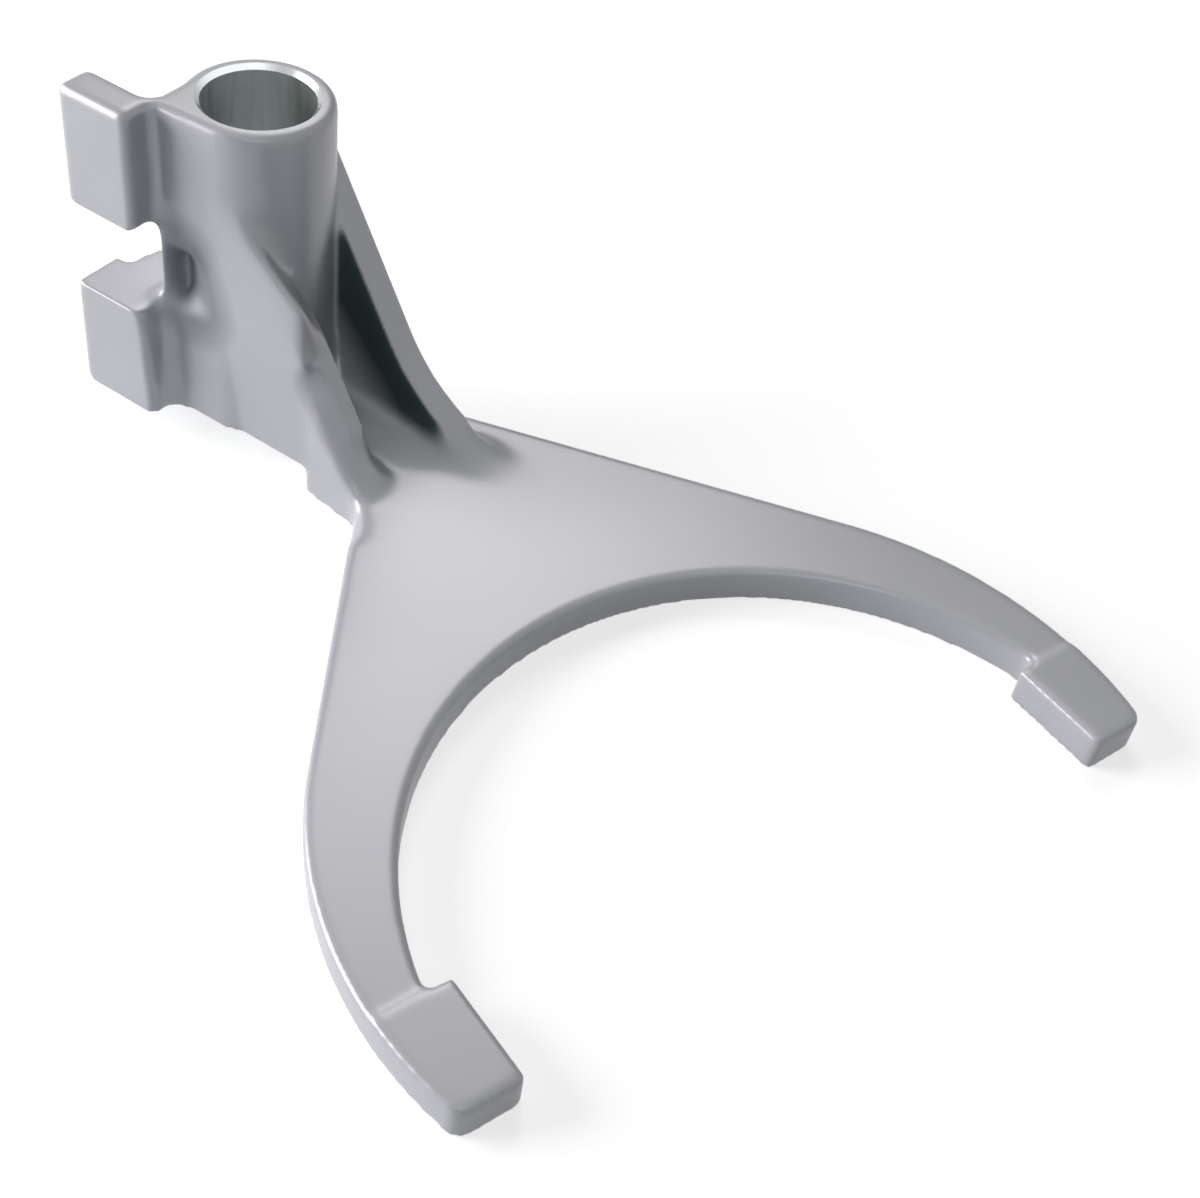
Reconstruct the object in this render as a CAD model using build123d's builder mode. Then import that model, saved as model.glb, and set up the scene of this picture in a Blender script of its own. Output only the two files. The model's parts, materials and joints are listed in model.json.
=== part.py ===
"""Transmission shift fork, one casting.

The rail bore stands along Z with its lower end at the origin. The forked plate reaches towards -Y,
and the selector lugs stand on the -X side of the hub.
"""
import os
from math import acos, atan2, cos, degrees, hypot, radians, sin, sqrt, tan

from build123d import *

# Hub and rail bore
bore_radius = 8.0
hub_wall = 2.7
hub_height = 50.4
bore_chamfer = 0.7
rim_round = 1.3
hub_flare = 1.1

# Selector lugs, beside the hub
lug_face_x = -16.5
lug_far_y = 21.4
upper_lug_near_y = 8.9
upper_lug_thickness = 6.1
lower_lug_near_y = 8.5
lower_lug_foot_y = 7.5
lower_lug_thickness = 8.3
slot_bottom = 18.0
slot_top = 31.6
lug_round = 1.0

# Web that joins the lugs to the hub
web_x = 11.5
web_foot_x = 12.1
web_back_y = 9.9
web_round = 12.0
neck_front_round = 1.2
neck_back_round = 2.2
neck_foot_round = 3.2
gusset_back_y = 19.0
gusset_bend = (-2.5, 18.2)
gusset_round = 5.0
gusset_neck_round = 1.2

# Recess in the web, behind the gap between the lugs
recess_wall = 1.7
recess_start = 0.6
brow_height = 31.2
brow_round = 5.0

# Forked plate, lying across the lower end of the hub
plate_top = 0.9
plate_thickness = 5.5
plate_round = 0.7
fork_turn = -19.9
fork_offset = 14.0
fork_end = 121.3
flare_angle = 37.6
arm_centre_before_end = 15.4
arm_radius = 58.6
mouth_centre_before_end = 5.2
mouth_radius = 52.1
pad_gap = 94.8
pad_length = 15.6
pad_rise = 0.3
pad_outer_round = 2.5
pad_inner_round = 1.0
step_round = 1.5

# Ribs between the hub and the plate
rib_thickness = 5.5
rib_round = 1.0
crest_angle = 59.7
crest_below_top = 0.8
right_foot_round = 29.0
left_foot_round = 6.0
left_trim_at = 13.4
left_trim_normal = (0.51, -0.9, 1)

# Outer wall on the left rib, and the foot below it that spreads towards the fork
outer_edge = 1.8
outer_front = 17.2
outer_below_top = 4.8
outer_shoulder = (9.4, 36.4)
outer_corner_height = 30.0
outer_slope = 63.0
ledge_height = 15.0
ledge_foot = 28.4
ledge_round = 7.0
foot_bend_x = 12.1
foot_bend_before = 1.0
foot_tip_x = 15.0
foot_tip_beyond = 0.7
foot_round = 6.0
wall_round = 0.8

# Pocket between the ribs
floor_height = 7.1
floor_slope = 0.191
floor_lean = 0.235
floor_round = 4.0
root_round = 6.0

hub_radius = bore_radius + hub_wall
hub_foot_radius = hub_radius + hub_flare
wall_x = hub_radius
plate_bottom = plate_top - plate_thickness
crest_start = hub_height - crest_below_top
crest_slope = tan(radians(crest_angle))
crest_foot = (crest_start - plate_top) / crest_slope
rib_inside = wall_x - rib_thickness


def corner(sketch, x, y):
    """The vertex of a sketch that lies nearest to a point given in the sketch's own plane."""
    return sketch.vertices().sort_by_distance((x, y, 0))[0]


def hub_tangent(x, y):
    """The point where a line from (x, y), behind the hub, touches the hub's right side."""
    angle = atan2(y, x) - acos(hub_radius / hypot(x, y))
    return (hub_radius * cos(angle), hub_radius * sin(angle))


def crest_profile(foot_round):
    """Side view of a rib: its crest runs down from the hub and turns into the plate in an arc."""
    foot_end = crest_foot + foot_round * tan(radians(crest_angle / 2)) + 1
    with BuildSketch() as profile:
        with BuildLine():
            Polyline(
                (0, 0), (0, crest_start), (-crest_foot, plate_top), (-foot_end, plate_top),
                (-foot_end, plate_bottom), (-outer_front, plate_bottom), (-outer_front, 0),
                close=True,
            )
        make_face()
        fillet(corner(profile, -crest_foot, plate_top), foot_round)
    return profile.sketch


def lower_outline(radius, web, near_y, neck_round):
    """Plan of the lower lug, its web and the gusset behind it, beside a hub of some radius."""
    lug_back_x = lug_face_x + lower_lug_thickness
    with BuildSketch() as plan:
        with BuildLine():
            Polyline(
                (0, 0), (-radius, 0), (-web, near_y), (lug_face_x, near_y),
                (lug_face_x, lug_far_y), (lug_back_x, lug_far_y), (lug_back_x, gusset_back_y),
                gusset_bend, hub_tangent(*gusset_bend), close=True,
            )
        make_face()
        fillet(corner(plan, -web, near_y), neck_round)
        fillet(corner(plan, lug_back_x, gusset_back_y), gusset_neck_round)
        fillet(corner(plan, *gusset_bend), gusset_round)
        fillet(corner(plan, lug_face_x, near_y), lug_round)
        fillet(corner(plan, lug_face_x, lug_far_y), lug_round)
    return plan.sketch


# Recess between the selector gap and the hub, under a rounded brow
recess_back_y = web_back_y - recess_wall
brow_x = brow_round - web_x

with BuildPart() as recess:
    with BuildSketch(Plane.XZ.offset(-recess_back_y)):
        with BuildLine():
            brow = RadiusArc(
                (-web_x, brow_height), (brow_x, brow_height - brow_round), -brow_round
            )
            Polyline(
                brow @ 1, (brow_x, slot_bottom), (2 * lug_face_x, slot_bottom),
                (2 * lug_face_x, brow_height), brow @ 0,
            )
        make_face()
    extrude(amount=recess_back_y - recess_start)
    with BuildSketch():
        Circle(bore_radius + recess_wall)
    extrude(amount=hub_height, mode=Mode.SUBTRACT)

# Hub, web, selector lugs and the gusset behind the lower lug
upper_lug_back_x = lug_face_x + upper_lug_thickness
web_neck = (-sqrt(hub_radius**2 - web_back_y**2), web_back_y)

with BuildPart() as hub:
    with BuildSketch():
        Circle(hub_radius)
    extrude(amount=hub_height)
    with BuildSketch():
        Circle(hub_foot_radius)
    extrude(amount=slot_bottom, taper=degrees(atan2(hub_flare, slot_bottom)))
    with BuildSketch(Plane.XY.offset(slot_top)) as upper:
        Circle(hub_radius)
        with BuildLine():
            Polyline(
                (0, 0), (-hub_radius, 0), (-web_x, upper_lug_near_y),
                (lug_face_x, upper_lug_near_y), (lug_face_x, lug_far_y),
                (upper_lug_back_x, lug_far_y), (upper_lug_back_x, web_back_y), (0, web_back_y),
                close=True,
            )
        make_face()
        fillet(corner(upper, *web_neck), web_round)
        fillet(corner(upper, -web_x, upper_lug_near_y), neck_front_round)
        fillet(corner(upper, upper_lug_back_x, web_back_y), neck_back_round)
        fillet(corner(upper, lug_face_x, upper_lug_near_y), lug_round)
        fillet(upper.vertices().group_by(Axis.Y)[-1], lug_round)
    extrude(amount=hub_height - slot_top)
    fillet(hub.edges().group_by(Axis.Z)[-1], rim_round)
    with BuildSketch(Plane.XY.offset(slot_bottom)) as web:
        Circle(hub_radius)
        with BuildLine():
            Polyline(
                (0, 0), (-hub_radius, 0), (-web_x, upper_lug_near_y), (-web_x, web_back_y),
                (0, web_back_y), close=True,
            )
        make_face()
        fillet(corner(web, *web_neck), web_round)
    extrude(amount=slot_top - slot_bottom)
    add(recess.part, mode=Mode.SUBTRACT)
    with BuildSketch():
        add(lower_outline(hub_foot_radius, web_foot_x, lower_lug_foot_y, neck_foot_round))
    with BuildSketch(Plane.XY.offset(slot_bottom)):
        add(lower_outline(hub_radius, web_x, lower_lug_near_y, neck_front_round))
    loft()

# The channel between the ribs, cut by a core that leaves along the floor
with BuildPart() as channel:
    with BuildSketch(Plane.XZ) as section:
        with BuildLine():
            Polyline(
                (-rib_inside, floor_height - floor_lean * rib_inside),
                (rib_inside, floor_height + floor_lean * rib_inside),
                (rib_inside, 2 * hub_height), (-rib_inside, 2 * hub_height),
                close=True,
            )
        make_face()
        fillet(corner(section, rib_inside, floor_height + floor_lean * rib_inside), floor_round)
    extrude(amount=fork_end, dir=Vector(0, -1, -floor_slope))

# The round root between the hub and the floor of the channel
root_foot = hub_radius + root_round
root_floor = floor_height - floor_slope * root_foot

with BuildPart() as root:
    with BuildSketch(Plane.XZ) as root_section:
        with BuildLine():
            Polyline(
                (hub_radius, root_floor + root_round), (0, root_floor + root_round), (0, 0),
                (root_foot, 0), (root_foot, root_floor),
            )
            RadiusArc(
                (root_foot, root_floor), (hub_radius, root_floor + root_round), root_round
            )
        make_face()
    revolve(axis=Axis.Z)
    add(channel.part, mode=Mode.INTERSECT)

# The right rib and the floor beside it
crest_line = Axis((0, 0, crest_start), (0, -1, -crest_slope))

with BuildPart() as right_rib:
    with BuildSketch(Plane.YZ.offset(-rib_inside)):
        add(crest_profile(right_foot_round))
    extrude(amount=rib_inside + wall_x)
    add(channel.part, mode=Mode.SUBTRACT)
    fillet(right_rib.edges().filter_by(crest_line).sort_by(Axis.X)[-2:], rib_round)

# The left rib, trimmed beside the hub
with BuildPart() as left_rib:
    with BuildSketch(Plane.YZ.offset(-rib_inside)):
        add(crest_profile(left_foot_round))
    extrude(amount=outer_edge - rib_thickness)
    split(
        bisect_by=Plane(
            origin=(-wall_x + rib_thickness / 2, -left_trim_at, crest_start - left_trim_at * crest_slope),
            z_dir=left_trim_normal,
        ),
        keep=Keep.BOTTOM,
    )

# The outer wall of the left rib, which falls away steeply behind its upper edge
fall = radians(outer_slope)
outer_top = hub_height - outer_below_top

with BuildPart() as outer_wall:
    with BuildSketch(Plane.YZ.offset(-wall_x)):
        with BuildLine():
            shoulder = ThreePointArc(
                (0, outer_top),
                (-outer_shoulder[0], outer_shoulder[1]),
                (-outer_front, outer_corner_height),
            )
            Polyline(shoulder @ 1, (-outer_front, 0), (0, 0), shoulder @ 0)
        make_face()
    extrude(amount=rib_thickness / cos(fall), dir=(cos(fall), 0, -sin(fall)))
    split(bisect_by=Plane.XY)

# The foot that spreads towards the fork, under a sloping ledge
ledge_angle = atan2(ledge_height - plate_top, ledge_foot - outer_front)
foot_end = ledge_foot + ledge_round * tan(ledge_angle / 2) + foot_tip_beyond
foot_bend_y = ledge_foot - foot_bend_before

with BuildPart() as left_foot:
    with BuildSketch(Plane.XY.offset(plate_bottom)) as spread:
        with BuildLine():
            Polyline(
                (-wall_x, -outer_front), (-foot_bend_x, -foot_bend_y), (-foot_tip_x, -foot_end),
                (-rib_inside, -ledge_foot), (-rib_inside, -outer_front), close=True,
            )
        make_face()
        fillet(corner(spread, -foot_bend_x, -foot_bend_y), foot_round)
    extrude(amount=hub_height)
    with BuildSketch(Plane.YZ.offset(-rib_inside)) as ledge:
        with BuildLine():
            Polyline(
                (-outer_front, plate_bottom), (-outer_front, ledge_height),
                (-ledge_foot, plate_top), (-foot_end, plate_top), (-foot_end, plate_bottom),
                close=True,
            )
        make_face()
        fillet(corner(ledge, -ledge_foot, plate_top), ledge_round)
    extrude(amount=rib_inside - foot_tip_x, mode=Mode.INTERSECT)

# The forked plate, drawn about the centre line of its mouth
turn = radians(fork_turn)
fork_plane = Plane(
    origin=(fork_offset * cos(turn), fork_offset * sin(turn), plate_bottom),
    x_dir=(cos(turn), sin(turn), 0), z_dir=(0, 0, 1),
)
flare = radians(flare_angle)
half_gap = pad_gap / 2
pad_start = fork_end - pad_length
arm_centre = fork_end - arm_centre_before_end
mouth_centre = fork_end - mouth_centre_before_end
apex = arm_centre - arm_radius / sin(flare)
end_half_width = sqrt(arm_radius**2 - (fork_end - arm_centre) ** 2)
pad_width = end_half_width - half_gap
outer_round = min(pad_outer_round, pad_width / 2)
inner_round = min(pad_inner_round, pad_width / 3)
mouth_half_width = sqrt(mouth_radius**2 - (mouth_centre - pad_start) ** 2)

with BuildPart() as plate:
    with BuildSketch(fork_plane) as outline:
        with BuildLine():
            side = Line(
                (0, -apex), (arm_radius * cos(flare), arm_radius * sin(flare) - arm_centre)
            )
            arm = ThreePointArc(side @ 1, (arm_radius, -arm_centre), (end_half_width, -fork_end))
            end = Polyline(
                arm @ 1, (half_gap, -fork_end), (half_gap, -pad_start), (mouth_half_width, -pad_start)
            )
            RadiusArc(end @ 1, (0, mouth_radius - mouth_centre), -mouth_radius)
            mirror(about=Plane.YZ)
        make_face()
        for sign in (-1, 1):
            fillet(corner(outline, sign * end_half_width, -fork_end), outer_round)
            fillet(corner(outline, sign * half_gap, -fork_end), inner_round)
            fillet(corner(outline, sign * mouth_half_width, -pad_start), step_round)
    extrude(amount=plate_thickness)
    with BuildSketch(Plane.XY.offset(plate_bottom)):
        Rectangle(4 * hub_radius, outer_front, align=(Align.CENTER, Align.MAX))
    extrude(amount=plate_thickness, mode=Mode.SUBTRACT)
    fillet(plate.edges().group_by(Axis.Z)[-1], plate_round)

# The two pads that run in the groove of the sleeve, a little thicker than the arms
with BuildPart() as pads:
    with BuildSketch(fork_plane):
        add(outline.sketch_local)
        with Locations((0, -fork_end)):
            Rectangle(
                4 * half_gap, pad_length, align=(Align.CENTER, Align.MIN), mode=Mode.INTERSECT
            )
    extrude(amount=plate_thickness + pad_rise)
    along_fork = Axis(fork_plane.origin, fork_plane.y_dir)
    rims = pads.edges().group_by(Axis.Z)[-1].sort_by(along_fork)[:-2]
    fillet(rims, plate_round)

with BuildPart() as shift_fork:
    add(hub.part)
    add(right_rib.part)
    add(left_rib.part)
    add(outer_wall.part)
    add(left_foot.part)
    add(root.part)
    add(plate.part)
    add(pads.part)
    with BuildSketch():
        Circle(bore_radius)
    extrude(amount=hub_height, mode=Mode.SUBTRACT)
    top_face = shift_fork.faces().sort_by(Axis.Z)[-1]
    chamfer(top_face.inner_wires().edges(), bore_chamfer)
    wall_corner = (-wall_x, -outer_front, outer_corner_height)
    fillet(shift_fork.edges().sort_by_distance(wall_corner)[:2], wall_round)

shift_fork.part.label = "shift_fork"
os.makedirs("parts", exist_ok=True)
export_step(shift_fork.part, "parts/shift_fork.step")
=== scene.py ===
"""A transmission shift fork: the looks of its one cast piece, and the stage that it lies on."""

import json
from math import cos, pi, radians, sin

import bpy
from mathutils import Matrix, Vector

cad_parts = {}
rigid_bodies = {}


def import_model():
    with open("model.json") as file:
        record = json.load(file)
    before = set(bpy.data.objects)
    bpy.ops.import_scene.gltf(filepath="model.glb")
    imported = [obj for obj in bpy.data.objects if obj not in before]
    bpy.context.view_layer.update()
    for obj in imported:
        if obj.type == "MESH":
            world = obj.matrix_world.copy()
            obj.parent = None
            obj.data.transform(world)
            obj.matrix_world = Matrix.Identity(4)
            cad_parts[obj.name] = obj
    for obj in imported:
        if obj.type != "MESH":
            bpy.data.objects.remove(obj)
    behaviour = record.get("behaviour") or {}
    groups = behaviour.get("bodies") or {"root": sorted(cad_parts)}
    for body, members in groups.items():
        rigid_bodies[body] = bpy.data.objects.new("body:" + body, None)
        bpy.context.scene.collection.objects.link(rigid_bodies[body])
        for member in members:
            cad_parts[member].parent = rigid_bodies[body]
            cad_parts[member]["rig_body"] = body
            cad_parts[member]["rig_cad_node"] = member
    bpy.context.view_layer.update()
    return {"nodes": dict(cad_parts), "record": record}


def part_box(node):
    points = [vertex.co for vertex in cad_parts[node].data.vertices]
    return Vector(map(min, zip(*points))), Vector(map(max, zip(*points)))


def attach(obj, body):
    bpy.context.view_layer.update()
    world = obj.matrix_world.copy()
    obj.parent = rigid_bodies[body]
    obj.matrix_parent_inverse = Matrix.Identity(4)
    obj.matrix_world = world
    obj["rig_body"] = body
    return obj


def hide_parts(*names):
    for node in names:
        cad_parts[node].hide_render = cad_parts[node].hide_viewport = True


bl_info = {
    "name": "Cast Shift Fork",
    "version": (1, 0, 0),
    "blender": (4, 5, 0),
    "location": "View3D > Sidebar > Shift Fork",
    "description": "Finishes the cast shift fork and sets its plain studio",
    "category": "Object",
}

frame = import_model()
casting_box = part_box("shift_fork")
bore = next(mount for mount in frame["record"]["mounts"] if mount["name"] == "bore")
bore_radius = bore["dims"]["r_mm"] / 1000
hub_top = casting_box[1].z
underside = casting_box[0].z

# Seams along which the casting's walls run softly into each other: both ends, and reach
soft_seams = (
    ((-0.0095, -0.0050, 0.0385), (-0.0092, -0.0190, 0.0235), 0.0050),  # fin against the hub
    ((-0.0105, 0.0045, 0.0290), (-0.0105, 0.0045, 0.0195), 0.0085),  # recess behind the gap
    ((-0.0108, -0.0180, 0.0150), (-0.0138, -0.0300, 0.0020), 0.0035),  # ledge of the foot
    ((-0.0146, -0.0325, 0.0015), (-0.0146, -0.0325, 0.0015), 0.0050),  # nose of the foot
    ((-0.0050, -0.0263, 0.0009), (0.0050, -0.0386, 0.0009), 0.0080),  # mouth of the pocket
    ((0.0080, -0.0360, 0.0020), (0.0080, -0.0470, 0.0010), 0.0060),  # foot of the right rib
)
seam_sharpness = 2  # how fast the softening sets in from the edge of a seam's reach

# Hollows where shade is painted dark into the skin: both ends, reach, least turn to -X, and
# darkness
painted_hollow_shade = (
    ((0.0050, -0.0080, 0.0285), (0.0055, -0.0265, 0.0075), 0.0120, 0.5, 1.0),  # pocket's wall
    ((-0.0100, 0.0055, 0.0275), (-0.0105, 0.0030, 0.0195), 0.0080, -1.0, 0.6),  # recess
)
turn_sharpness = 3  # how fast a hollow's tone sets in as a face turns to -X
hollow_sharpness = 1.6  # how fast it sets in from the edge of the hollow's reach

# Noise patterns of the metal, with their spots counted per metre
cloud_noise = {"Scale": 45.0, "Detail": 5.0, "Roughness": 0.55}
grain_noise = {"Scale": 1600.0, "Detail": 3.0, "Roughness": 0.6}
streak_noise = {"Scale": 260.0, "Detail": 5.0, "Roughness": 0.6}
mark_noise = {"Scale": 900.0, "Detail": 3.0}
along_bore = (1.0, 1.0, 0.02)  # the streaks are drawn out along the bore
streak_contrast = {"From Min": 0.35, "From Max": 0.65}

# The studio's brighter side, as its azimuth from +X and its elevation in degrees, and the
# nearness to it over which the walls go from dim to bright
bright_side = (275, 22)
dim_until, bright_from = -0.1, 0.9


class CastingSettings(bpy.types.PropertyGroup):
    """Sizes of the casting's skin and of its machined bore."""

    merge_distance: bpy.props.FloatProperty(
        name="Merge distance", description="Corners of the CAD facets closer than this become one",
        default=0.000002, unit="LENGTH", precision=6,
    )
    grain_size: bpy.props.FloatProperty(
        name="Mesh size", description="Edge length of the even mesh that is laid over the casting",
        default=0.0005, unit="LENGTH", precision=5,
    )
    edge_passes: bpy.props.IntProperty(
        name="Edge passes", description="Smoothing passes that round all the cast edges",
        default=5,
    )
    root_passes: bpy.props.IntProperty(
        name="Root passes", description="Smoothing passes where walls run into each other",
        default=120,
    )
    bore_sides: bpy.props.IntProperty(
        name="Bore sides", description="Facets round the machined bore", default=192,
    )
    lip_depth: bpy.props.FloatProperty(
        name="Lip depth", description="Depth of the chamfer at the mouth of the bore",
        default=hub_top - bore["dims"]["length_mm"] / 1000, unit="LENGTH", precision=5,
    )
    plug_wall: bpy.props.FloatProperty(
        name="Plug overlap",
        description="How far the plug that fills the bore reaches into the hub",
        default=0.001, unit="LENGTH", precision=5,
    )
    cutter_margin: bpy.props.FloatProperty(
        name="Cutter margin", description="How far the bore's cutter stands out at both ends",
        default=0.002, unit="LENGTH", precision=5,
    )


class FinishSettings(bpy.types.PropertyGroup):
    """Colours and sheen of the metal, and the shade painted dark into its hollows."""

    skin_colour: bpy.props.FloatVectorProperty(
        name="Cast skin", description="Colour of the cast alloy", subtype="COLOR", size=4,
        min=0, max=1, default=(0.60, 0.597, 0.64, 1),
    )
    shade_colour: bpy.props.FloatVectorProperty(
        name="Cast skin, darker", description="Colour of the duller patches of the skin",
        subtype="COLOR", size=4, min=0, max=1, default=(0.54, 0.54, 0.57, 1),
    )
    # Painted shade: a dark colour that stands in for the shade in the pocket and the recess
    hollow_shade_colour: bpy.props.FloatVectorProperty(
        name="Painted hollow shade", description="Colour of the rough skin painted dark as shade in the hollows",
        subtype="COLOR", size=4, min=0, max=1, default=(0.05, 0.075, 0.08, 1),
    )
    bore_colour: bpy.props.FloatVectorProperty(
        name="Bore", description="Colour of the machined bore", subtype="COLOR", size=4,
        min=0, max=1, default=(0.95, 0.96, 0.95, 1),
    )
    bore_shade: bpy.props.FloatVectorProperty(
        name="Bore, darker", description="Colour of the duller streaks in the bore",
        subtype="COLOR", size=4, min=0, max=1, default=(0.72, 0.76, 0.76, 1),
    )
    lip_colour: bpy.props.FloatVectorProperty(
        name="Bore lip", description="Colour of the turned lip at the mouth of the bore",
        subtype="COLOR", size=4, min=0, max=1, default=(0.85, 0.85, 0.86, 1),
    )
    skin_metal: bpy.props.FloatProperty(
        name="Cast skin, metal", description="How much the cast skin mirrors as bare metal does",
        subtype="FACTOR", min=0, max=1, default=0.2,
    )
    skin_roughness: bpy.props.FloatVectorProperty(
        name="Cast skin, roughness", description="Least and greatest roughness of the cast skin",
        size=2, min=0, max=1, default=(0.30, 0.40),
    )
    # Roughness where the hollows' shade is painted in
    hollow_shade_roughness: bpy.props.FloatProperty(
        name="Painted hollow shade, roughness", description="Roughness of the skin painted dark as shade in the hollows",
        subtype="FACTOR", min=0, max=1, default=0.7,
    )
    bore_roughness: bpy.props.FloatVectorProperty(
        name="Bore, roughness", description="Roughness of the bore's bright and dull streaks",
        size=2, min=0, max=1, default=(0.26, 0.42),
    )
    lip_roughness: bpy.props.FloatVectorProperty(
        name="Bore lip, roughness", description="Least and greatest roughness of the lip",
        size=2, min=0, max=1, default=(0.22, 0.34),
    )
    grain_depth: bpy.props.FloatProperty(
        name="Grain depth", description="Depth of the cast skin's fine grain",
        default=0.0001, unit="LENGTH", precision=6,
    )
    grain_strength: bpy.props.FloatProperty(
        name="Grain strength", description="How much of the grain's depth shows",
        subtype="FACTOR", min=0, max=1, default=0.12,
    )


class StageSettings(bpy.types.PropertyGroup):
    """Floor, lamps and sky of the studio."""

    floor_size: bpy.props.FloatProperty(
        name="Floor size", description="Width of the floor", default=14.0, unit="LENGTH",
    )
    floor_white: bpy.props.FloatProperty(
        name="Floor white", description="Share of the floor's white that no shadow takes away",
        default=0.66, subtype="FACTOR", min=0, max=1,
    )
    floor_paint: bpy.props.FloatVectorProperty(
        name="Floor paint", description="Colour of the floor where it is seen",
        subtype="COLOR", size=4, min=0, max=1, default=(0.8, 0.8, 0.8, 1),
    )
    floor_bounce: bpy.props.FloatVectorProperty(
        name="Floor bounce", description="Colour of the light that the floor throws back",
        subtype="COLOR", size=4, min=0, max=1, default=(0.26, 0.31, 0.35, 1),
    )
    shadow_reach: bpy.props.FloatProperty(
        name="Shadow reach", description="How far from the bore the floor takes the whole shadow",
        default=0.3, unit="LENGTH",
    )
    white_from: bpy.props.FloatProperty(
        name="White from", description="How far from the bore the floor is wholly white",
        default=1.5, unit="LENGTH",
    )
    side_power: bpy.props.FloatProperty(
        name="Side lamp", description="Power of the low lamp behind the lugs", default=9.6,
        unit="POWER",
    )
    back_power: bpy.props.FloatProperty(
        name="Back lamp", description="Power of the lamp that the flat plate mirrors",
        default=1.7, unit="POWER",
    )
    top_power: bpy.props.FloatProperty(
        name="Top lamp", description="Power of the high lamp behind the hub", default=0.3,
        unit="POWER",
    )
    front_power: bpy.props.FloatProperty(
        name="Front lamp", description="Power of the faint lamp that lights the rounded edges",
        default=0.5, unit="POWER",
    )
    lamp_distance: bpy.props.FloatProperty(
        name="Lamp distance", description="How far each lamp stands from the fork", default=0.9,
        unit="LENGTH",
    )
    sky_level: bpy.props.FloatProperty(
        name="Sky level",
        description="Share of the studio walls' light that reaches dull surfaces",
        default=0.05, subtype="FACTOR", min=0, max=1,
    )
    wall_colour: bpy.props.FloatVectorProperty(
        name="Wall colour", description="Colour of the studio's walls", subtype="COLOR", size=4,
        min=0, max=1, default=(0.95, 0.99, 1, 1),
    )
    dim_wall: bpy.props.FloatProperty(
        name="Dim wall", description="Brightness of the studio on its darker side", default=0.45,
        subtype="FACTOR", min=0, max=1,
    )
    bright_wall: bpy.props.FloatProperty(
        name="Bright wall", description="Brightness of the studio on its lighter side",
        default=1.2, min=0,
    )


def deselect_all():
    """Leave nothing selected, and nothing in edit mode."""
    if bpy.context.object and bpy.context.object.mode != "OBJECT":
        bpy.ops.object.mode_set(mode="OBJECT")
    bpy.ops.object.select_all(action="DESELECT")


def activate(piece):
    """Make one object the only selected and active one."""
    deselect_all()
    piece.select_set(True)
    bpy.context.view_layer.objects.active = piece


def apply_modifier(piece, kind, **values):
    """Add a modifier with its values to a piece and apply it."""
    activate(piece)
    modifier = piece.modifiers.new(kind.title(), kind)
    for name, value in values.items():
        setattr(modifier, name, value)
    bpy.ops.object.modifier_apply(modifier=modifier.name)


def distance_to_seam(point, start, end):
    """How far a point lies from the straight line between two ends, which may be one point."""
    start = Vector(start)
    along = Vector(end) - start
    share = (point - start).dot(along) / (along.length_squared or 1)
    return (point - start - along * min(1, max(0, share))).length


def select_faces(piece, wanted):
    """Open a piece in edit mode with only the wanted faces selected."""
    activate(piece)
    bpy.ops.object.mode_set(mode="EDIT")
    bpy.ops.mesh.select_mode(type="FACE")
    bpy.ops.mesh.select_all(action="DESELECT")
    bpy.ops.object.mode_set(mode="OBJECT")
    for face in piece.data.polygons:
        face.select = wanted(face)
    bpy.ops.object.mode_set(mode="EDIT")


def add_cylinder(name, sides, radius, bottom, top):
    """A closed upright cylinder on the bore's axis."""
    deselect_all()
    bpy.ops.mesh.primitive_cylinder_add(
        vertices=sides, radius=radius, depth=top - bottom, location=(0, 0, (bottom + top) / 2)
    )
    bpy.ops.object.transform_apply()
    cylinder = bpy.context.object
    cylinder.name = name
    return cylinder


def new_material(name):
    """A material, the nodes and links of its tree, and its shader."""
    material = bpy.data.materials.new(name)
    material.use_nodes = True
    nodes = material.node_tree.nodes
    return material, nodes, material.node_tree.links, nodes["Principled BSDF"]


def add_node(nodes, kind, inputs=None, **values):
    """A shader node with its settings and the values of its sockets."""
    node = nodes.new(kind)
    for name, value in values.items():
        setattr(node, name, value)
    for name, value in (inputs or {}).items():
        node.inputs[name].default_value = value
    return node


def seen_by_eye_or_gloss(nodes, links):
    """A socket that is 1 for camera, glossy and transmission rays, and 0 for dull light."""
    path = add_node(nodes, "ShaderNodeLightPath")
    gloss = add_node(nodes, "ShaderNodeMath", operation="MAXIMUM")
    seen = add_node(nodes, "ShaderNodeMath", operation="MAXIMUM")
    links.new(path.outputs["Is Glossy Ray"], gloss.inputs[0])
    links.new(path.outputs["Is Transmission Ray"], gloss.inputs[1])
    links.new(path.outputs["Is Camera Ray"], seen.inputs[0])
    links.new(gloss.outputs["Value"], seen.inputs[1])
    return seen.outputs["Value"]


def direction(azimuth, elevation):
    """The unit vector towards an azimuth from +X and an elevation, in degrees."""
    turned = Vector((cos(radians(azimuth)), sin(radians(azimuth)), 0)) * cos(radians(elevation))
    return turned + Vector((0, 0, sin(radians(elevation))))


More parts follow.
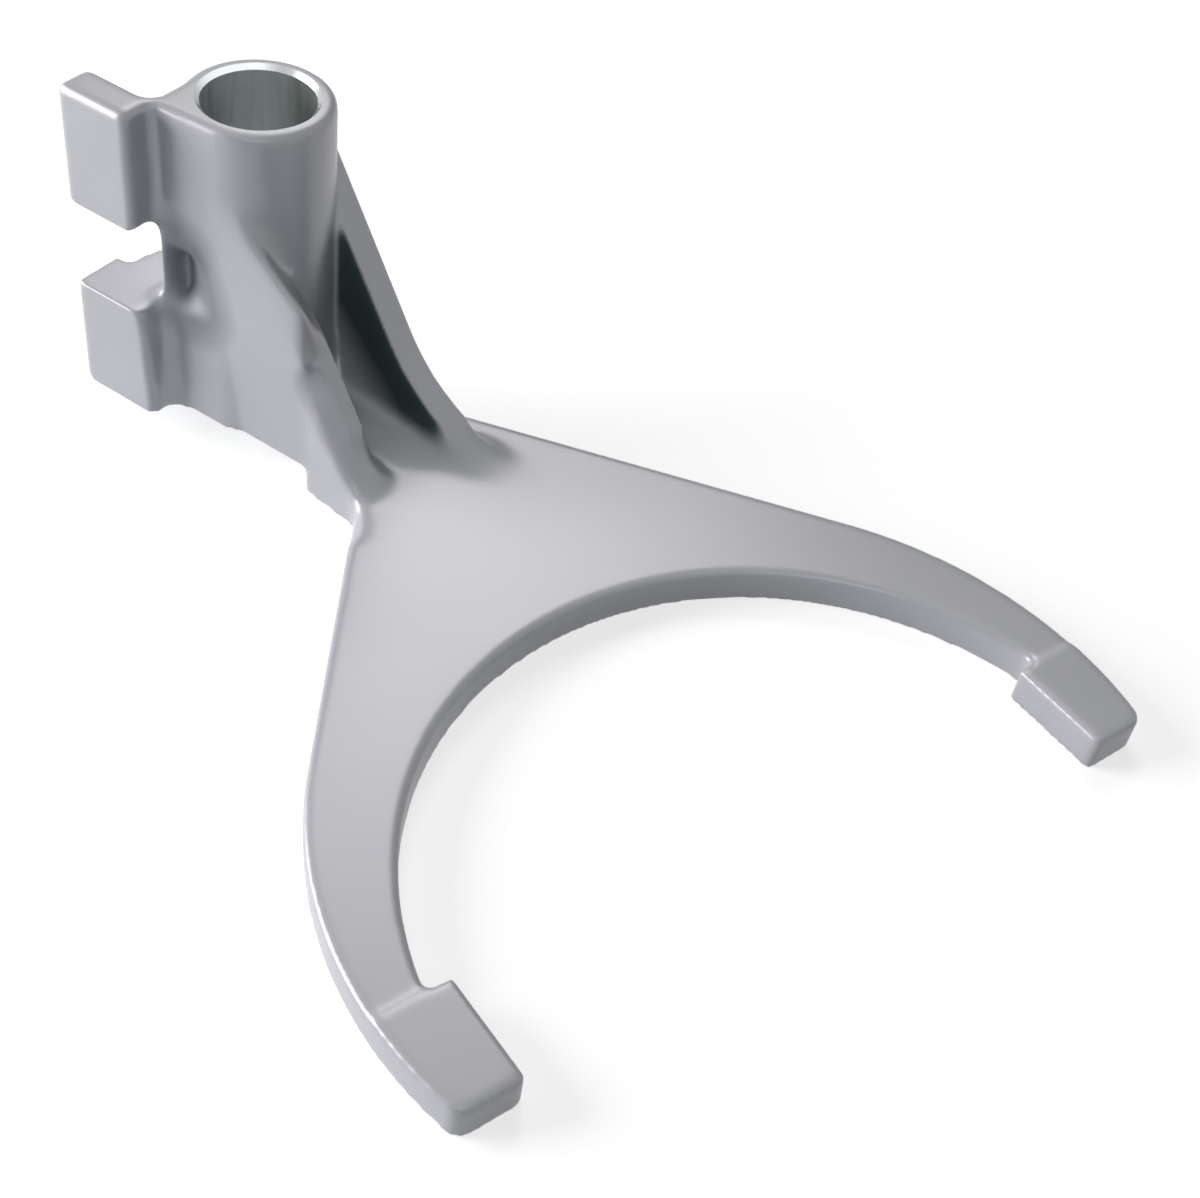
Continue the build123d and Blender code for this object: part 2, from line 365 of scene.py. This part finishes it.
def cast_skin(finish):
    """Satin cast alloy: cloudy in colour and sheen, with a fine grain, and shade painted dark into
    its hollows.
    """
    material, nodes, links, shader = new_material("cast_alloy_skin")
    least, most = finish.skin_roughness
    place = add_node(nodes, "ShaderNodeTexCoord")
    clouds = add_node(nodes, "ShaderNodeTexNoise", cloud_noise)
    grain = add_node(nodes, "ShaderNodeTexNoise", grain_noise)
    tint = add_node(nodes, "ShaderNodeMix", data_type="RGBA")
    tint.inputs["A"].default_value = finish.shade_colour
    tint.inputs["B"].default_value = finish.skin_colour
    sheen = add_node(nodes, "ShaderNodeMapRange", {"To Min": least, "To Max": most})
    bump = add_node(
        nodes, "ShaderNodeBump",
        {"Strength": finish.grain_strength, "Distance": finish.grain_depth},
    )
    # Painted shade: the hollow attribute darkens the base colour and roughens the skin in the
    # pocket and the recess
    hollow = add_node(nodes, "ShaderNodeAttribute", attribute_name="hollow")
    shade_mix = add_node(nodes, "ShaderNodeMix", data_type="RGBA")
    shade_mix.inputs["B"].default_value = finish.hollow_shade_colour
    rough = add_node(nodes, "ShaderNodeMix", {"B": finish.hollow_shade_roughness}, data_type="FLOAT")
    links.new(place.outputs["Object"], clouds.inputs["Vector"])
    links.new(place.outputs["Object"], grain.inputs["Vector"])
    links.new(clouds.outputs["Fac"], tint.inputs["Factor"])
    links.new(clouds.outputs["Fac"], sheen.inputs["Value"])
    links.new(grain.outputs["Fac"], bump.inputs["Height"])
    links.new(hollow.outputs["Fac"], shade_mix.inputs["Factor"])
    links.new(tint.outputs["Result"], shade_mix.inputs["A"])
    links.new(hollow.outputs["Fac"], rough.inputs["Factor"])
    links.new(sheen.outputs["Result"], rough.inputs["A"])
    links.new(shade_mix.outputs["Result"], shader.inputs["Base Color"])
    links.new(rough.outputs["Result"], shader.inputs["Roughness"])
    links.new(bump.outputs["Normal"], shader.inputs["Normal"])
    shader.inputs["Metallic"].default_value = finish.skin_metal
    return material


def bore_finish(finish):
    """Reamed bore: bare metal with light and dark streaks along the hole."""
    material, nodes, links, shader = new_material("reamed_bore")
    bright, dull = finish.bore_roughness
    place = add_node(nodes, "ShaderNodeTexCoord")
    stretch = add_node(nodes, "ShaderNodeMapping", {"Scale": along_bore})
    streaks = add_node(nodes, "ShaderNodeTexNoise", streak_noise)
    contrast = add_node(
        nodes, "ShaderNodeMapRange", streak_contrast, interpolation_type="SMOOTHSTEP"
    )
    tint = add_node(nodes, "ShaderNodeMix", data_type="RGBA")
    tint.inputs["A"].default_value = finish.bore_shade
    tint.inputs["B"].default_value = finish.bore_colour
    sheen = add_node(nodes, "ShaderNodeMapRange", {"To Min": dull, "To Max": bright})
    links.new(place.outputs["Object"], stretch.inputs["Vector"])
    links.new(stretch.outputs["Vector"], streaks.inputs["Vector"])
    links.new(streaks.outputs["Fac"], contrast.inputs["Value"])
    links.new(contrast.outputs["Result"], tint.inputs["Factor"])
    links.new(contrast.outputs["Result"], sheen.inputs["Value"])
    links.new(tint.outputs["Result"], shader.inputs["Base Color"])
    links.new(sheen.outputs["Result"], shader.inputs["Roughness"])
    shader.inputs["Metallic"].default_value = 1.0
    return material


def lip_finish(finish):
    """Turned lip at the mouth of the bore: bright bare metal."""
    material, nodes, links, shader = new_material("turned_lip")
    least, most = finish.lip_roughness
    place = add_node(nodes, "ShaderNodeTexCoord")
    marks = add_node(nodes, "ShaderNodeTexNoise", mark_noise)
    sheen = add_node(nodes, "ShaderNodeMapRange", {"To Min": least, "To Max": most})
    links.new(place.outputs["Object"], marks.inputs["Vector"])
    links.new(marks.outputs["Fac"], sheen.inputs["Value"])
    links.new(sheen.outputs["Result"], shader.inputs["Roughness"])
    shader.inputs["Base Color"].default_value = finish.lip_colour
    shader.inputs["Metallic"].default_value = 1.0
    return material


class SHIFTFORK_OT_casting(bpy.types.Operator):
    """Lay an even, softly rounded skin over the casting, and cut its bore true again"""

    bl_idname = "shiftfork.casting"
    bl_label = "Cast fork"

    def execute(self, context):
        sizes = context.scene.shift_fork_casting
        finish = context.scene.shift_fork_finish
        casting = self.copy_solid(sizes)
        self.plug_bore(casting, sizes)
        apply_modifier(casting, "REMESH", mode="VOXEL", voxel_size=sizes.grain_size)
        apply_modifier(casting, "SMOOTH", factor=0.5, iterations=sizes.edge_passes)
        self.soften_roots(casting, sizes)
        casting.data.materials.clear()
        casting.data.materials.append(cast_skin(finish))
        self.cut_bore(casting, sizes, finish)
        # Painted shade for the pocket and the recess
        self.shade_hollows(casting)
        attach(casting, "root")
        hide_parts("shift_fork")
        return {"FINISHED"}

    def copy_solid(self, sizes):
        """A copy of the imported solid, with its loose facets joined."""
        activate(frame["nodes"]["shift_fork"])
        bpy.ops.object.duplicate()
        casting = bpy.context.object
        casting.name = casting.data.name = "cast_fork"
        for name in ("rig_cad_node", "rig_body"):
            if name in casting:
                del casting[name]
        bpy.ops.object.mode_set(mode="EDIT")
        bpy.ops.mesh.select_all(action="SELECT")
        bpy.ops.mesh.remove_doubles(threshold=sizes.merge_distance)
        bpy.ops.object.mode_set(mode="OBJECT")
        return casting

    def plug_bore(self, casting, sizes):
        """Fill the bore, so that the even mesh runs flat across its mouth."""
        plug = add_cylinder(
            "bore_plug", sizes.bore_sides, bore_radius + sizes.plug_wall, 0, hub_top
        )
        activate(casting)
        plug.select_set(True)
        bpy.ops.object.join()

    def soften_roots(self, casting, sizes):
        """Smooth the skin further along the soft seams, fully within half their reach."""
        group = casting.vertex_groups.new(name="roots")
        for vertex in casting.data.vertices:
            weight = 0.0
            for start, end, reach in soft_seams:
                near = 1 - distance_to_seam(vertex.co, start, end) / reach
                weight = max(weight, min(1, seam_sharpness * near))
            if weight > 0:
                group.add((vertex.index,), weight, "REPLACE")
        apply_modifier(
            casting, "SMOOTH", factor=0.5, iterations=sizes.root_passes, vertex_group=group.name
        )
        casting.vertex_groups.clear()

    def cut_bore(self, casting, sizes, finish):
        """Cut the round bore and its lip with one tool, whose faces bring their own finish."""
        lip_foot = hub_top - sizes.lip_depth
        facing_up = 0.9  # least Z of the normal of the cutter's top
        cutter = add_cylinder(
            "bore_cutter", sizes.bore_sides, bore_radius, -sizes.cutter_margin, lip_foot
        )
        cutter.data.materials.append(bore_finish(finish))
        cutter.data.materials.append(lip_finish(finish))
        select_faces(cutter, lambda face: face.normal.z > facing_up)
        rise = sizes.lip_depth + sizes.cutter_margin
        flare = (bore_radius + rise) / bore_radius
        bpy.ops.mesh.extrude_region_move(TRANSFORM_OT_translate={"value": (0, 0, rise)})
        bpy.ops.transform.resize(
            value=(flare, flare, 1), center_override=(0, 0, lip_foot + rise)
        )
        bpy.ops.object.mode_set(mode="OBJECT")
        for face in cutter.data.polygons:
            face.material_index = int(face.center.z > lip_foot)
        apply_modifier(
            casting, "BOOLEAN", operation="DIFFERENCE", object=cutter, solver="EXACT",
            material_mode="TRANSFER",
        )
        bpy.data.objects.remove(cutter)
        activate(casting)
        bpy.ops.object.shade_smooth()
        for slot in range(1, len(casting.data.materials)):
            select_faces(casting, lambda face: face.material_index == slot)
            bpy.ops.mesh.region_to_loop()
            bpy.ops.mesh.mark_sharp()
            bpy.ops.object.mode_set(mode="OBJECT")

    def shade_hollows(self, casting):
        """Paint shade into the skin: write how dark it is at each point that lies in a hollow."""
        mesh = casting.data
        depth = mesh.attributes.new("hollow", "FLOAT", "POINT")
        for vertex, normal, tone in zip(mesh.vertices, mesh.vertex_normals, depth.data):
            for start, end, reach, facing, darkness in painted_hollow_shade:
                near = 1 - distance_to_seam(vertex.co, start, end) / reach
                turned = min(1, max(0, turn_sharpness * (-normal.vector.x - facing)))
                inside = min(1, max(0, hollow_sharpness * near))
                tone.value = max(tone.value, darkness * turned * inside)


class SHIFTFORK_OT_stage(bpy.types.Operator):
    """Lay the pale floor, set the lamps and stand the camera where the photo was taken"""

    bl_idname = "shiftfork.stage"
    bl_label = "Studio"

    def execute(self, context):
        stage = context.scene.shift_fork_stage
        self.add_floor(stage)
        self.add_lamps(stage)
        self.add_sky(context.scene, stage)
        self.add_camera(context.scene)
        context.scene.view_settings.view_transform = "Standard"
        return {"FINISHED"}

    def add_floor(self, stage):
        """A floor that shows white to the camera and in the metal, and still takes the shadow."""
        deselect_all()
        bpy.ops.mesh.primitive_plane_add(size=stage.floor_size, location=(0, 0, underside))
        floor = bpy.context.object
        floor.name = "floor"
        material, nodes, links, shader = new_material("white_floor")
        nodes.remove(shader)
        place = add_node(nodes, "ShaderNodeTexCoord")
        reach = add_node(nodes, "ShaderNodeVectorMath", operation="LENGTH")
        level = add_node(
            nodes, "ShaderNodeMapRange",
            {
                "From Min": stage.shadow_reach, "From Max": stage.white_from,
                "To Min": stage.floor_white, "To Max": 1.0,
            },
        )
        white = add_node(nodes, "ShaderNodeEmission")
        paint = add_node(nodes, "ShaderNodeBsdfDiffuse", {"Color": stage.floor_paint})
        both = add_node(nodes, "ShaderNodeAddShader")
        dull = add_node(nodes, "ShaderNodeBsdfDiffuse", {"Color": stage.floor_bounce})
        shown = add_node(nodes, "ShaderNodeMixShader")
        links.new(place.outputs["Object"], reach.inputs[0])
        links.new(reach.outputs["Value"], level.inputs["Value"])
        links.new(level.outputs["Result"], white.inputs["Strength"])
        links.new(paint.outputs["BSDF"], both.inputs[0])
        links.new(white.outputs["Emission"], both.inputs[1])
        links.new(seen_by_eye_or_gloss(nodes, links), shown.inputs["Fac"])
        links.new(dull.outputs["BSDF"], shown.inputs[1])
        links.new(both.outputs["Shader"], shown.inputs[2])
        links.new(shown.outputs["Shader"], nodes["Material Output"].inputs["Surface"])
        floor.data.materials.append(material)

    def add_lamps(self, stage):
        """Round soft lamps: one beside the lugs, one behind, one high, a faint one in front."""
        # Name, power, width, azimuth from +X and elevation in degrees
        lamps = (
            ("side_lamp", stage.side_power, 0.70, 121, 15),
            ("back_lamp", stage.back_power, 0.45, 36, 43),
            ("top_lamp", stage.top_power, 0.60, 90, 68),
            ("front_lamp", stage.front_power, 0.40, 215, 48),
        )
        aim = (casting_box[0] + casting_box[1]) / 2
        for name, power, width, azimuth, elevation in lamps:
            away = direction(azimuth, elevation)
            bpy.ops.object.light_add(type="AREA", location=aim + away * stage.lamp_distance)
            lamp = bpy.context.object
            lamp.name = name
            lamp.data.energy = power
            lamp.data.shape = "DISK"
            lamp.data.size = width
            lamp.rotation_euler = away.to_track_quat("Z", "Y").to_euler()

    def add_sky(self, scene, stage):
        """Studio walls, brighter in front of the fork than behind it."""
        world = bpy.data.worlds.new("studio_walls")
        scene.world = world
        world.use_nodes = True
        nodes, links = world.node_tree.nodes, world.node_tree.links
        place = add_node(nodes, "ShaderNodeTexCoord")
        towards = add_node(nodes, "ShaderNodeVectorMath", operation="DOT_PRODUCT")
        towards.inputs[1].default_value = direction(*bright_side)
        walls = add_node(
            nodes, "ShaderNodeMapRange",
            {
                "From Min": dim_until, "From Max": bright_from,
                "To Min": stage.dim_wall, "To Max": stage.bright_wall,
            },
            interpolation_type="SMOOTHSTEP",
        )
        dull = add_node(nodes, "ShaderNodeMath", operation="MULTIPLY")
        dull.inputs[1].default_value = stage.sky_level
        level = add_node(nodes, "ShaderNodeMix", data_type="FLOAT")
        links.new(place.outputs["Generated"], towards.inputs[0])
        links.new(towards.outputs["Value"], walls.inputs["Value"])
        links.new(walls.outputs["Result"], dull.inputs[0])
        links.new(seen_by_eye_or_gloss(nodes, links), level.inputs["Factor"])
        links.new(dull.outputs["Value"], level.inputs["A"])
        links.new(walls.outputs["Result"], level.inputs["B"])
        nodes["Background"].inputs["Color"].default_value = stage.wall_colour
        links.new(level.outputs["Result"], nodes["Background"].inputs["Strength"])

    def add_camera(self, scene):
        """The photo's camera, as fitted to the fork's arcs, bore and lug faces."""
        sensor_width = 36.0
        photo_width = 1200
        focal_pixels = 1830.5
        stand = Vector((-0.16678, -0.15099, 0.18465))
        azimuth = radians(-62.45)
        elevation = radians(45.235)
        roll = radians(9.226)
        data = bpy.data.cameras.new("photo_camera")
        camera = bpy.data.objects.new("photo_camera", data)
        scene.collection.objects.link(camera)
        data.sensor_width = sensor_width
        data.lens = focal_pixels * sensor_width / photo_width
        turn = (
            Matrix.Rotation(azimuth, 4, "Z")
            @ Matrix.Rotation(pi / 2 - elevation, 4, "X")
            @ Matrix.Rotation(roll, 4, "Z")
        )
        camera.matrix_world = Matrix.Translation(stand) @ turn
        scene.camera = camera


class SHIFTFORK_PT_panel(bpy.types.Panel):
    """Lists the fork's piece and its studio"""

    bl_idname = "SHIFTFORK_PT_panel"
    bl_label = "Shift Fork"
    bl_space_type = "VIEW_3D"
    bl_region_type = "UI"
    bl_category = "Shift Fork"

    def draw(self, context):
        layout = self.layout
        for group, operator in (
            (context.scene.shift_fork_casting, SHIFTFORK_OT_casting),
            (context.scene.shift_fork_finish, None),
            (context.scene.shift_fork_stage, SHIFTFORK_OT_stage),
        ):
            box = layout.box()
            for name in group.bl_rna.properties.keys():
                if name not in ("rna_type", "name"):
                    box.prop(group, name)
            if operator:
                box.operator(operator.bl_idname)


classes = (
    CastingSettings,
    FinishSettings,
    StageSettings,
    SHIFTFORK_OT_casting,
    SHIFTFORK_OT_stage,
    SHIFTFORK_PT_panel,
)


def register():
    """Make the settings, operators and panel known."""
    for each in classes:
        bpy.utils.register_class(each)
    scene = bpy.types.Scene
    scene.shift_fork_casting = bpy.props.PointerProperty(type=CastingSettings)
    scene.shift_fork_finish = bpy.props.PointerProperty(type=FinishSettings)
    scene.shift_fork_stage = bpy.props.PointerProperty(type=StageSettings)


def unregister():
    """Take the settings, operators and panel out again."""
    scene = bpy.types.Scene
    del scene.shift_fork_casting
    del scene.shift_fork_finish
    del scene.shift_fork_stage
    for each in reversed(classes):
        bpy.utils.unregister_class(each)


def main():
    """Make the piece and the stage."""
    register()
    bpy.ops.shiftfork.casting()
    bpy.ops.shiftfork.stage()


if __name__ == "__main__":
    main()
